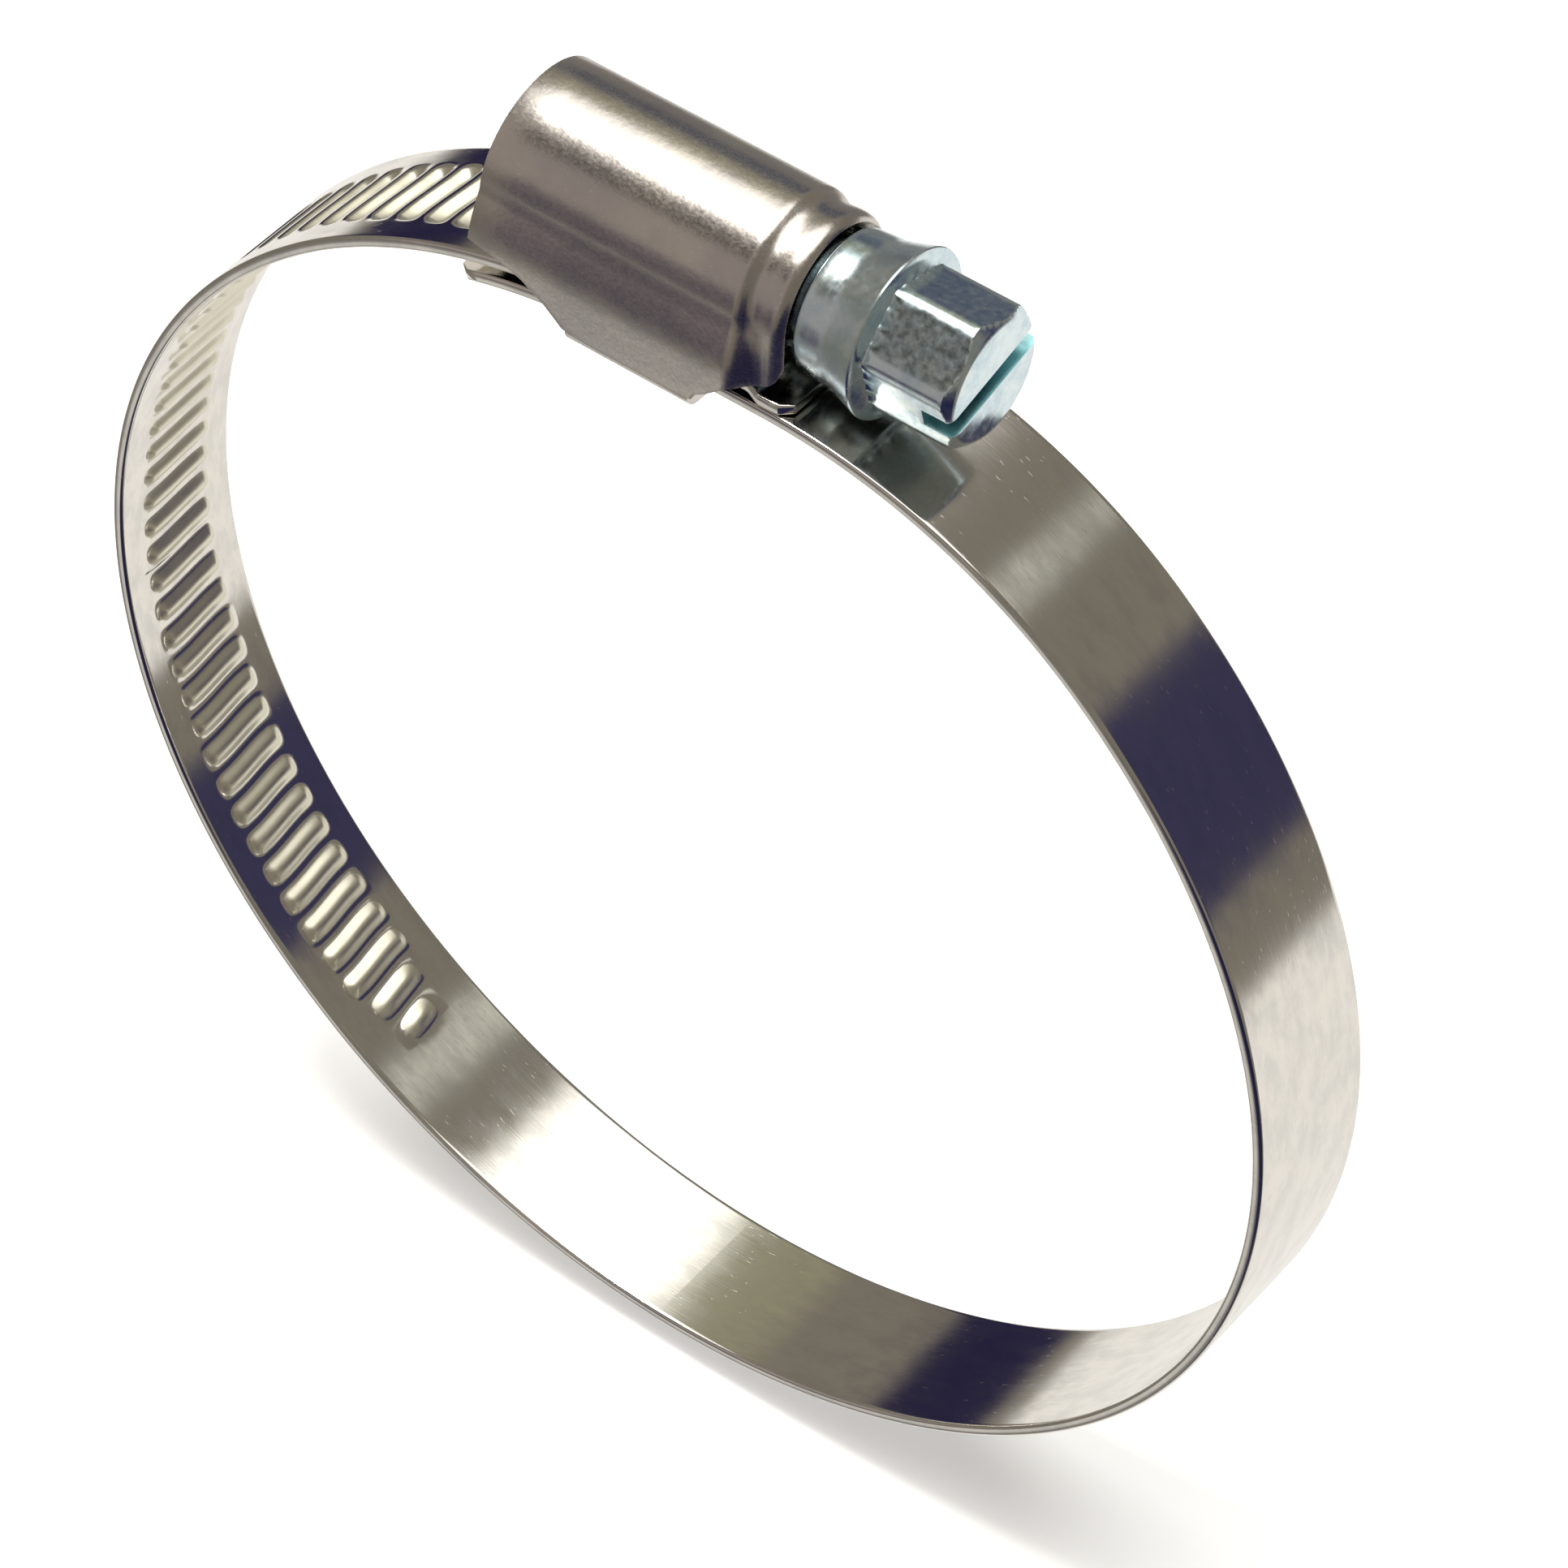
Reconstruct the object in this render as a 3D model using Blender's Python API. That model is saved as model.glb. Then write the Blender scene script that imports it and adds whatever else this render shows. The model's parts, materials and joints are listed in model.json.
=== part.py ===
"""Worm-drive hose clamp, 60-80 mm size with a 9 mm band.

Metres, +Z up. The origin is the centre of the band loop. Y is the axis of the hose that the band goes round,
X is the axis of the worm screw with its hexagon head at +X, and the housing sits at the top of the loop.
The screw has a right-hand thread, so turning it clockwise, seen from its head, draws the threaded end of the
band to +X and makes the loop smaller.

The band is one spring-steel strip. It is divided here where it bends, so that its lengths can turn on each other.
"""

import math

import bmesh
import bpy
from mathutils import Vector

MM = 0.001

# Band
BAND_WIDTH = 9.0 * MM
BAND_THICKNESS = 0.7 * MM
LOOP_RADIUS = 38.75 * MM  # to the middle of the band's thickness
BASE_Z = 36.45 * MM  # fixed end, where it lies flat in the housing
STRIP_Z = 37.70 * MM  # threaded end, where it lies flat under the worm
TAIL_Z = 37.27 * MM  # threaded end past the worm, lying on the fixed end
BASE_FLAT_X = 6.0 * MM  # the fixed end is flat from -STRIP_FLAT_X to here
STRIP_FLAT_X = 3.0 * MM  # both ends start to curve down at minus this
LIP_X = 13.4 * MM  # tip of the fixed end, behind the housing
TAIL_X = 7.6 * MM  # tip of the threaded end
JOGGLE = (5.0 * MM, 5.8 * MM)  # where the threaded end steps down to its tail
LINK_GAP = 0.3 * MM  # between two lengths of the band
STATION_STEP = math.radians(4.0)
JOGGLE_STEPS = 4

# Pressed threads of the band
PITCH = 2.1 * MM
FIRST_GROOVE = -3.5  # in pitches along the strip from where it starts to curve
LAST_GROOVE = 45.5
GROOVE_DEPTH = 0.5 * MM
RIDGE_HEIGHT = 0.35 * MM  # how far each groove stands out of the inner face
GROOVE_TOP = 1.2 * MM
GROOVE_BOTTOM = 0.8 * MM
GROOVE_HALF_LENGTH = (2.6 * MM, 2.2 * MM)  # at the surface, at the bottom
GROOVE_SLANT = -0.095  # tangent of the worm's helix angle, against the lengths, which grow towards -X

# Hinge lines between the lengths of the band
LEFT_HINGES = (0, 10, 22, 35)  # in pitches along the strip
RIGHT_HINGE_ANGLE = math.radians(-20.0)
OPEN_PIVOT_GAP = 0.5 * MM
BOTTOM = math.radians(270.0)

# Worm screw
SCREW_Z = 41.65 * MM
WORM_CREST = 3.9 * MM
WORM_ROOT = 3.1 * MM
WORM_START_X = -9.6 * MM
WORM_END_X = 4.9 * MM
PILOT_X = -10.3 * MM
PILOT_RADIUS = 2.3 * MM
JOURNAL_RADIUS = 3.2 * MM
COLLAR_X = 7.35 * MM
COLLAR_RADIUS = 3.9 * MM
COLLAR_RIM_RADIUS = 4.7 * MM
HEX_START_X = 11.5 * MM
HEX_END_X = 16.75 * MM
HEX_ACROSS_FLATS = 7.0 * MM
HEX_FLAT_ANGLE = math.radians(15.0)
HEX_CHAMFER_RADIUS = 3.4 * MM
SLOT_WIDTH = 1.2 * MM
SLOT_DEPTH = 1.8 * MM
SCREW_SIDES = 24
RINGS_PER_PITCH = 6

# Housing
WALL = 0.75 * MM
HOUSING_RADIUS = 4.75 * MM
HOUSING_HALF_WIDTH = 5.45 * MM
HOUSING_BACK_X = -10.75 * MM
HOUSING_BACK_SLANT = 0.09
HOUSING_BOTTOM_Z = 35.05 * MM
SHOULDER_X = 4.3 * MM
BULKHEAD_X = 5.1 * MM  # the cavity narrows here to the bore round the screw's journal
NECK_END_X = 7.1 * MM
NECK_RADIUS = 4.4 * MM
NECK_BORE = 3.4 * MM
SEAM_HALF_GAP = 0.25 * MM
FLARE_Z = 38.4 * MM  # the side walls spread down to here, then run straight
# Outlines cut away under the side walls, behind and in front of the flanges, as (x, z) in millimetres
REAR_EDGE = (
    (-14.0, 34.0), (-5.9, 34.0), (-5.9, 36.05), (-7.0, 36.9), (-8.5, 37.8), (-10.6, 38.5), (-14.0, 39.0),
)
FRONT_EDGE = ((9.0, 38.25), (5.0, 38.25), (4.5, 37.95), (3.2, 36.8), (2.3, 36.15), (2.3, 34.0), (9.0, 34.0))

STEEL_BAND = ((0.62, 0.60, 0.57), 0.22)
STEEL_HOUSING = ((0.56, 0.54, 0.51), 0.36)
ZINC_SCREW = ((0.55, 0.60, 0.64), 0.3)


def clear_scene():
    for old in list(bpy.data.objects):
        bpy.data.objects.remove(old)


def metal(name, look):
    colour, roughness = look
    material = bpy.data.materials.new(name)
    material.use_nodes = True
    shader = material.node_tree.nodes["Principled BSDF"]
    shader.inputs["Base Color"].default_value = (*colour, 1.0)
    shader.inputs["Metallic"].default_value = 1.0
    shader.inputs["Roughness"].default_value = roughness
    return material


def add_object(name, points, faces, look, pivot=(0.0, 0.0, 0.0)):
    """A closed mesh from world points, with its origin on the pivot."""
    origin = Vector(pivot)
    mesh = bpy.data.meshes.new(name)
    mesh.from_pydata([Vector(p) - origin for p in points], [], faces)
    work = bmesh.new()
    work.from_mesh(mesh)
    bmesh.ops.remove_doubles(work, verts=work.verts, dist=1e-7)
    bmesh.ops.recalc_face_normals(work, faces=work.faces)
    work.to_mesh(mesh)
    work.free()
    made = bpy.data.objects.new(name, mesh)
    bpy.context.scene.collection.objects.link(made)
    made.location = origin
    made.data.materials.append(metal(name + "_metal", look))
    made.data.shade_smooth()
    made.data.set_sharp_from_angle(angle=math.radians(35.0))
    return made


def cut(target, cutter):
    cutter.hide_render = True
    cutter.display_type = "WIRE"
    step = target.modifiers.new("cut_" + cutter.name, "BOOLEAN")
    step.operation = "DIFFERENCE"
    step.object = cutter


def smooth_step(t):
    t = min(max(t, 0.0), 1.0)
    return t * t * (3.0 - 2.0 * t)


# ---- band ---------------------------------------------------------------------------------------------------


class BandLine:
    """Middle line of one half of the band, as (x, z, normal) against the length along it.

    It runs from the middle of the housing outwards, flat and then round one arc that meets the loop's circle
    without a corner. side is -1 for the left half and 1 for the right half."""

    def __init__(self, side, flat_x, flat_z):
        self.side = side
        self.flat_x = flat_x
        self.flat_z = flat_z
        free = LOOP_RADIUS**2 - flat_z**2 - flat_x**2
        self.radius = free / (2.0 * (LOOP_RADIUS - flat_z))
        self.centre = (flat_x, flat_z - self.radius)
        self.meet = math.atan2(self.centre[1], flat_x)  # angle above +X where arc and circle meet
        self.arc_length = self.radius * (math.pi / 2.0 - self.meet)

    def at(self, length):
        """Point and outward normal at a length from the start of the arc; less than zero is on the flat."""
        if length <= 0.0:
            x, z, angle = self.flat_x + length, self.flat_z, math.pi / 2.0
        elif length <= self.arc_length:
            angle = math.pi / 2.0 - length / self.radius
            x = self.centre[0] + self.radius * math.cos(angle)
            z = self.centre[1] + self.radius * math.sin(angle)
        else:
            angle = self.meet - (length - self.arc_length) / LOOP_RADIUS
            x, z = LOOP_RADIUS * math.cos(angle), LOOP_RADIUS * math.sin(angle)
        return Vector((self.side * x, 0.0, z)), Vector((self.side * math.cos(angle), 0.0, math.sin(angle)))

    def length_to(self, angle):
        """Length to a point on the circle, whose angle is measured down from the top on this side."""
        return self.arc_length + LOOP_RADIUS * (self.meet - angle)


def groove_stations(first, last):
    """Lengths and depths (0 to 1) across each groove that lies between two lengths along the strip."""
    found = []
    number = FIRST_GROOVE
    while number <= LAST_GROOVE:
        middle = number * PITCH
        if first < middle < last:
            half_top, half_bottom = GROOVE_TOP / 2.0, GROOVE_BOTTOM / 2.0
            found += [(middle - half_top, 0.0), (middle - half_bottom, 1.0)]
            found += [(middle + half_bottom, 1.0), (middle + half_top, 0.0)]
        number += 1.0
    return found


def plain_stations(first, last, used):
    """Evenly spaced lengths, clear of the grooves, so that a plain stretch bends smoothly."""
    step = LOOP_RADIUS * STATION_STEP
    count = max(1, round((last - first) / step))
    spaced = [first + (last - first) * i / count for i in range(1, count)]
    clear = 0.75 * PITCH
    return [(s, 0.0) for s in spaced if all(abs(s - u) > clear for u, _ in used)]


def strip_drop(line, length):
    """How far the threaded end steps down from its flat part to its tail."""
    if line.side > 0 or length > 0.0:
        return 0.0
    x = -(line.flat_x + length)
    low, high = JOGGLE
    return (STRIP_Z - TAIL_Z) * smooth_step((x - low) / (high - low))


def band_length(name, line, first, last, pivot, threaded=False):
    """One length of the band between two lengths along its middle line."""
    grooves = groove_stations(first, last) if threaded else []
    step = (JOGGLE[1] - JOGGLE[0]) / JOGGLE_STEPS
    joggle = [(-line.flat_x - JOGGLE[1] + step * i, 0.0) for i in range(JOGGLE_STEPS + 1)]
    joggle = [s for s in joggle if threaded and first < s[0] < last]
    stations = [(first, 0.0), (last, 0.0)] + grooves + joggle
    stations = sorted(stations + plain_stations(first, last, stations))
    half = BAND_WIDTH / 2.0
    long, short = GROOVE_HALF_LENGTH
    columns = [(-half, 0), (-long, 0), (-short, 1), (short, 1), (long, 0), (half, 0)]
    if not threaded:
        columns = [(-half, 0), (half, 0)]
    outer, inner = [], []
    for length, depth in stations:
        in_groove = any(abs(length - g) < 1e-9 for g, _ in grooves)
        for y, deep in columns:
            slant = GROOVE_SLANT * y if in_groove and abs(y) < half else 0.0
            point, normal = line.at(length + slant)
            point.z -= strip_drop(line, length + slant)
            point.y = y
            pressed = depth * deep
            outer.append(point + normal * (BAND_THICKNESS / 2.0 - GROOVE_DEPTH * pressed))
            inner.append(point - normal * (BAND_THICKNESS / 2.0 + RIDGE_HEIGHT * pressed))
    rows, wide = len(stations), len(columns)
    return add_object(name, outer + inner, sheet_faces(rows, wide), STEEL_BAND, pivot)


def sheet_faces(rows, wide):
    """Faces of a closed sheet whose outer points come first and its inner points after them."""
    total = rows * wide
    faces = []
    for i in range(rows - 1):
        for j in range(wide - 1):
            a, b = i * wide + j, i * wide + j + 1
            c, d = b + wide, a + wide
            faces += [(a, b, c, d), (total + d, total + c, total + b, total + a)]
        for j in (0, wide - 1):
            a, d = i * wide + j, (i + 1) * wide + j
            faces.append((a, d, total + d, total + a))
    for i in (0, rows - 1):
        for j in range(wide - 1):
            a, b = i * wide + j, i * wide + j + 1
            faces.append((a, b, total + b, total + a))
    return faces


def build_band():
    left = BandLine(-1.0, STRIP_FLAT_X, STRIP_Z)
    right = BandLine(1.0, BASE_FLAT_X, BASE_Z)
    half_gap = LINK_GAP / 2.0
    bottom_down = -math.pi / 2.0

    tail_end = -(TAIL_X + STRIP_FLAT_X)
    start = Vector((-STRIP_FLAT_X, 0.0, STRIP_Z))
    band_length("band_threaded_end", left, tail_end, -half_gap, start, threaded=True)
    hinges = [number * PITCH for number in LEFT_HINGES]
    ends = hinges[1:] + [left.length_to(bottom_down)]
    for number, (first, last) in enumerate(zip(hinges, ends), start=1):
        trim = OPEN_PIVOT_GAP / 2.0 if number == len(hinges) else half_gap
        pivot = left.at(first)[0]
        name = f"band_left_{number}"
        band_length(name, left, first + half_gap, last - trim, pivot, threaded=True)

    build_fixed_end(right, half_gap)
    hinges = [right.arc_length, right.length_to(RIGHT_HINGE_ANGLE)]
    ends = [hinges[1] - half_gap, right.length_to(bottom_down) - OPEN_PIVOT_GAP / 2.0]
    for number, (first, last) in enumerate(zip(hinges, ends), start=1):
        pivot = right.at(first)[0]
        band_length(f"band_right_{number}", right, first + half_gap, last, pivot)


def build_fixed_end(right, half_gap):
    """The end that the housing holds: a lip that droops behind it, a flat, and the start of the right side."""
    left = BandLine(-1.0, STRIP_FLAT_X, STRIP_Z)
    droop = left.radius - (STRIP_Z - BASE_Z)
    centre = Vector((-STRIP_FLAT_X, 0.0, BASE_Z - droop))
    tip = math.asin((LIP_X - STRIP_FLAT_X) / droop)
    line = []
    for i in range(5):
        angle = tip * (1.0 - i / 4.0)
        normal = Vector((-math.sin(angle), 0.0, math.cos(angle)))
        line.append((centre + normal * droop, normal))
    arc_stations = 8
    for i in range(arc_stations + 1):
        line.append(right.at((right.arc_length - half_gap) * i / arc_stations))
    outer, inner = [], []
    for point, normal in line:
        for y in (-BAND_WIDTH / 2.0, BAND_WIDTH / 2.0):
            across = Vector((0.0, y, 0.0))
            outer.append(point + across + normal * BAND_THICKNESS / 2.0)
            inner.append(point + across - normal * BAND_THICKNESS / 2.0)
    add_object("band_fixed_end", outer + inner, sheet_faces(len(line), 2), STEEL_BAND)


# ---- worm screw ---------------------------------------------------------------------------------------------


def worm_radius(x, angle):
    """Radius of the worm's thread, whose crests are in step with the band's grooves at the bottom."""
    groove_x = -STRIP_FLAT_X - PITCH / 2.0
    turns = (x - groove_x) / PITCH - (angle + math.pi / 2.0) / (2.0 * math.pi)
    from_crest = abs(turns - round(turns))
    height = 1.0 - smooth_step((from_crest - 0.11) / 0.20)
    fade = min((x - WORM_START_X) / (0.5 * PITCH), (WORM_END_X - x) / (0.35 * PITCH), 1.0)
    return WORM_ROOT + (WORM_CREST - WORM_ROOT) * height * max(fade, 0.0)


def hex_radius(angle):
    sixth = math.pi / 3.0
    from_flat = (angle - HEX_FLAT_ANGLE + sixth / 2.0) % sixth - sixth / 2.0
    return HEX_ACROSS_FLATS / 2.0 / math.cos(from_flat)


def screw_rings():
    """(x, radius function) along the screw, from its back end to its slotted head."""

    def plain(radius):
        return lambda _: radius

    rings = [(PILOT_X, plain(PILOT_RADIUS - 0.4 * MM)), (PILOT_X + 0.3 * MM, plain(PILOT_RADIUS))]
    rings.append((WORM_START_X - 0.2 * MM, plain(PILOT_RADIUS)))
    count = round((WORM_END_X - WORM_START_X) / PITCH * RINGS_PER_PITCH)
    for i in range(count + 1):
        x = WORM_START_X + (WORM_END_X - WORM_START_X) * i / count
        rings.append((x, lambda angle, x=x: worm_radius(x, angle)))
    rings += [
        (WORM_END_X + 0.2 * MM, plain(JOURNAL_RADIUS)),
        (COLLAR_X - 0.05 * MM, plain(JOURNAL_RADIUS)),
        (COLLAR_X, plain(COLLAR_RADIUS)),
        (COLLAR_X + 2.0 * MM, plain(COLLAR_RADIUS)),
        (COLLAR_X + 3.0 * MM, plain(COLLAR_RADIUS + 0.35 * MM)),
        (HEX_START_X - 0.55 * MM, plain(COLLAR_RIM_RADIUS)),
        (HEX_START_X - 0.1 * MM, plain(COLLAR_RIM_RADIUS)),
        (HEX_START_X, hex_radius),
        (HEX_END_X - 0.4 * MM, hex_radius),
        (HEX_END_X, lambda angle: min(hex_radius(angle), HEX_CHAMFER_RADIUS)),
    ]
    return rings


def build_screw():
    rings = screw_rings()
    points, faces = [], []
    for x, radius in rings:
        for k in range(SCREW_SIDES):
            angle = 2.0 * math.pi * k / SCREW_SIDES
            r = radius(angle)
            points.append(Vector((x, r * math.cos(angle), SCREW_Z + r * math.sin(angle))))
    for i in range(len(rings) - 1):
        for k in range(SCREW_SIDES):
            a, b = i * SCREW_SIDES + k, i * SCREW_SIDES + (k + 1) % SCREW_SIDES
            faces.append((a, b, b + SCREW_SIDES, a + SCREW_SIDES))
    faces.append(tuple(range(SCREW_SIDES)))
    faces.append(tuple(range(len(points) - SCREW_SIDES, len(points))))
    screw = add_object("worm_screw", points, faces, ZINC_SCREW, (0.0, 0.0, SCREW_Z))
    cut(screw, slot_cutter())


def slot_cutter():
    """A block along the screwdriver slot, which runs between two opposite flats."""
    along = Vector((0.0, math.cos(HEX_FLAT_ANGLE), math.sin(HEX_FLAT_ANGLE)))
    across = Vector((0.0, -math.sin(HEX_FLAT_ANGLE), math.cos(HEX_FLAT_ANGLE)))
    points = []
    for x in (HEX_END_X - SLOT_DEPTH, HEX_END_X + 1.0 * MM):
        for i, j in ((-1, -1), (1, -1), (1, 1), (-1, 1)):
            offset = along * i * HEX_ACROSS_FLATS + across * j * SLOT_WIDTH / 2.0
            points.append(Vector((x, 0.0, SCREW_Z)) + offset)
    return add_object("slot_cutter", points, prism_faces(4), ZINC_SCREW)


def prism_faces(sides):
    faces = [tuple(range(sides)), tuple(range(sides, 2 * sides))]
    for i in range(sides):
        j = (i + 1) % sides
        faces.append((i, j, sides + j, sides + i))
    return faces


# ---- housing ------------------------------------------------------------------------------------------------


def housing_section(radius, half_width, bottom_z):
    """Half of the housing's section, from the top down to the seam under the band, as (y, z)."""
    half = [math.radians(angle) for angle in (90, 75, 60, 45, 30, 15, 0)]
    points = [(radius * math.cos(a), SCREW_Z + radius * math.sin(a)) for a in half]
    spread = half_width - radius
    points += [
        (radius + 0.45 * spread, SCREW_Z - 0.45 * (SCREW_Z - FLARE_Z)),
        (half_width, FLARE_Z),
        (half_width, bottom_z + 0.35 * MM),
        (half_width - 0.3 * MM, bottom_z),
        (SEAM_HALF_GAP, bottom_z),
    ]
    return points


def housing_stations():
    """(x, outer radius, outer half width, inner radius, inner half width) along the housing."""
    bore, inside = HOUSING_RADIUS - WALL, HOUSING_HALF_WIDTH - WALL
    return [
        (HOUSING_BACK_X, HOUSING_RADIUS, HOUSING_HALF_WIDTH, bore, inside),
        (0.0, HOUSING_RADIUS, HOUSING_HALF_WIDTH, bore, inside),
        (SHOULDER_X, HOUSING_RADIUS, HOUSING_HALF_WIDTH, bore, inside),
        (SHOULDER_X + 0.7 * MM, HOUSING_RADIUS - 0.1 * MM, HOUSING_HALF_WIDTH - 0.1 * MM, bore, inside),
        (BULKHEAD_X, NECK_RADIUS + 0.1 * MM, HOUSING_HALF_WIDTH - 0.2 * MM, bore, inside),
        (BULKHEAD_X + 0.1 * MM, NECK_RADIUS + 0.08 * MM, HOUSING_HALF_WIDTH - 0.2 * MM, NECK_BORE, NECK_BORE),
        (BULKHEAD_X + 0.8 * MM, NECK_RADIUS, HOUSING_HALF_WIDTH - 0.4 * MM, NECK_BORE, NECK_BORE),
        (NECK_END_X - 0.7 * MM, NECK_RADIUS, HOUSING_HALF_WIDTH - 0.8 * MM, NECK_BORE, NECK_BORE),
        (NECK_END_X - 0.3 * MM, NECK_RADIUS - 0.05 * MM, NECK_RADIUS, NECK_BORE, NECK_BORE),
        (NECK_END_X, NECK_RADIUS - 0.25 * MM, NECK_RADIUS - 0.25 * MM, NECK_BORE, NECK_BORE),
    ]


def build_housing():
    loops = []
    for number, (x, outer_r, outer_w, inner_r, inner_w) in enumerate(housing_stations()):
        outer = housing_section(outer_r, outer_w, HOUSING_BOTTOM_Z)
        inner = housing_section(inner_r, inner_w, HOUSING_BOTTOM_Z + WALL)
        mirrored = [(-y, z) for y, z in reversed(outer)][:-1]
        mirrored_in = [(-y, z) for y, z in reversed(inner)][:-1]
        ring = mirrored + outer + list(reversed(mirrored_in + inner))
        slant = HOUSING_BACK_SLANT if number == 0 else 0.0
        top = SCREW_Z + HOUSING_RADIUS
        loops.append([Vector((x - slant * (top - z), y, z)) for y, z in ring])
    size = len(loops[0])
    points = [point for loop in loops for point in loop]
    faces = []
    for i in range(len(loops) - 1):
        for k in range(size):
            a, b = i * size + k, i * size + (k + 1) % size
            faces.append((a, b, b + size, a + size))
    half = size // 2
    for base in (0, (len(loops) - 1) * size):
        for k in range(half - 1):
            faces.append((base + k, base + k + 1, base + size - 2 - k, base + size - 1 - k))
    housing = add_object("housing", points, faces, STEEL_HOUSING)
    cut(housing, side_cutter("rear_cutter", REAR_EDGE))
    cut(housing, side_cutter("front_cutter", FRONT_EDGE))


def side_cutter(name, edge):
    width = 2.0 * HOUSING_HALF_WIDTH
    points = [Vector((x * MM, y, z * MM)) for y in (-width, width) for x, z in edge]
    return add_object(name, points, prism_faces(len(edge)), STEEL_HOUSING)


def main():
    clear_scene()
    build_band()
    build_screw()
    build_housing()


main()
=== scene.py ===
"""The looks of the worm-drive hose clamp: band, housing and screw in fine meshes, their metals and a studio.

Lengths are in metres unless a comment says millimetres or pitches. Y is the axis of the hose and X that of
the screw, with its head at +X. The housing is at the top of the loop.
"""

import json
import math

import bmesh
import bpy
import numpy as np
from mathutils import Matrix, Vector


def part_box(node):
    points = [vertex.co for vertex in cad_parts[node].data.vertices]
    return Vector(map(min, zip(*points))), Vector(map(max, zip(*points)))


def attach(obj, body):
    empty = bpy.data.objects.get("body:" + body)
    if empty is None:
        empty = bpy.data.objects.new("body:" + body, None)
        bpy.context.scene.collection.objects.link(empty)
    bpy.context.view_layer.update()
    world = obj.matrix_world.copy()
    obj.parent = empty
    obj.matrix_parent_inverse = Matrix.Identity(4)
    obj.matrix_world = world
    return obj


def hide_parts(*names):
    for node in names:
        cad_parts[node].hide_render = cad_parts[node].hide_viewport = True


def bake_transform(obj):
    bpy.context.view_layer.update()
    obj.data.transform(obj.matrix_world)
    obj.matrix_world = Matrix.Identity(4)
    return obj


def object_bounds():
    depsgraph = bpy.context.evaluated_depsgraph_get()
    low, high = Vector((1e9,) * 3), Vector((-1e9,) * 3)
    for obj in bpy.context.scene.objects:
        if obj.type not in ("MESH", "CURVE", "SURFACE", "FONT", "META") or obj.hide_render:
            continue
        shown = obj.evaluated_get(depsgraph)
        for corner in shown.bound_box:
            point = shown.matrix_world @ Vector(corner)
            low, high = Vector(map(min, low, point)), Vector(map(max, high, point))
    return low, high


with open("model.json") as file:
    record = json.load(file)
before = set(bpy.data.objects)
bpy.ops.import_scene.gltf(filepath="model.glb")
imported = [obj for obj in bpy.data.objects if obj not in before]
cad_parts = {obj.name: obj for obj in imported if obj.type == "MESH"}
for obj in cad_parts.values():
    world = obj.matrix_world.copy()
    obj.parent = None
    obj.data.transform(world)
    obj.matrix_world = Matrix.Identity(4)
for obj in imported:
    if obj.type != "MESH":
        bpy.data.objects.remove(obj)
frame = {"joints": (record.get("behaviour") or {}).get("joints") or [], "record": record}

cad_low, cad_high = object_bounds()
joints = {joint["name"]: joint for joint in frame["joints"]}

ratios = {row["joint"]: row["ratio"] for row in frame["record"]["behaviour"]["couplings"]}

MM = 0.001

# Places and sizes that the frame gives
HOUSING_LOW, HOUSING_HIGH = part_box("housing")
SCREW_LOW, SCREW_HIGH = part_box("worm_screw")
LIP_X = -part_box("band_fixed_end")[0].x
TAIL_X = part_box("band_threaded_end")[1].x
BAND_WIDTH = 2.0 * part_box("band_right_1")[1].y
SCREW_Z = joints["screw_turn"]["pos_m"][2]
STRIP_Z = joints["left_1_flex"]["pos_m"][2]
STRIP_FLAT_X = -joints["left_1_flex"]["pos_m"][0]
LOOP_RADIUS = Vector(joints["left_4_flex"]["pos_m"]).length
PITCH = 2.0 * math.pi / ratios["screw_turn"]

# Band
BAND_THICKNESS = 0.7 * MM
EDGE_ROUND = 0.2 * MM
BASE_Z = STRIP_Z - 1.25 * MM
BASE_FLAT_X = 6.0 * MM
TAIL_DROP = 0.50 * MM
JOGGLE = (5.0 * MM, 5.8 * MM)  # x over which the threaded end steps down, past the worm
TIP_CORNER, TIP_EDGE = 0.9 * MM, 0.12 * MM  # how far from a cut end its corners and its faces round off
TIP_NARROWING = 0.8

# Pressed threads. Numbers of grooves and SEAMS are in pitches from where the strip starts to curve.
FIRST_GROOVE, LAST_GROOVE = -3.5, 45.5
LAST_GROOVE_LENGTHS = {LAST_GROOVE: 0.5, LAST_GROOVE - 1.0: 0.75}  # of a whole groove
GROOVE_DEPTH = 0.5 * MM
RIDGE_HEIGHT = 0.35 * MM
GROOVE_HALF_TOP, GROOVE_HALF_BOTTOM = 0.94 * MM, 0.03 * MM
GROOVE_END, GROOVE_END_BOTTOM = 2.85 * MM, 2.05 * MM
GROOVE_SLANT, GROOVE_CURL = -0.15, 0.012 / MM**2
LEAN_FADE = 1.6 * MM  # past the grooves' ends the lean dies out over this width
SLANT_FADE = 2.0 * MM

# Divisions of the band. ACROSS is over half its width and ALONG_GROOVE over half a groove, in millimetres.
SEAMS = (5.0, 16.0, 29.0)
SEAM_INSET = 0.6 * MM  # the span given to bend_across starts this far past the seam before it
TAIL_BEND = (-0.6 * MM, 1.8 * MM)  # along the strip, from where it starts to curve
FIXED_BEND_REACH = 0.45  # of the arc's length, to each side of the joint
ACROSS = (4.2, 3.5, 2.95, 2.8, 2.66, 2.52, 2.38, 2.24, 2.1, 1.4, 0.7, 0.0)
ALONG_GROOVE = (0.94, 0.84, 0.72, 0.6, 0.48, 0.36, 0.24, 0.12, 0.0)
EDGE_STEPS = 5
JOGGLE_STEPS = 8
PLAIN_STEP = 0.7 * MM
SEAM_STEP = 0.02 * MM

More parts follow.
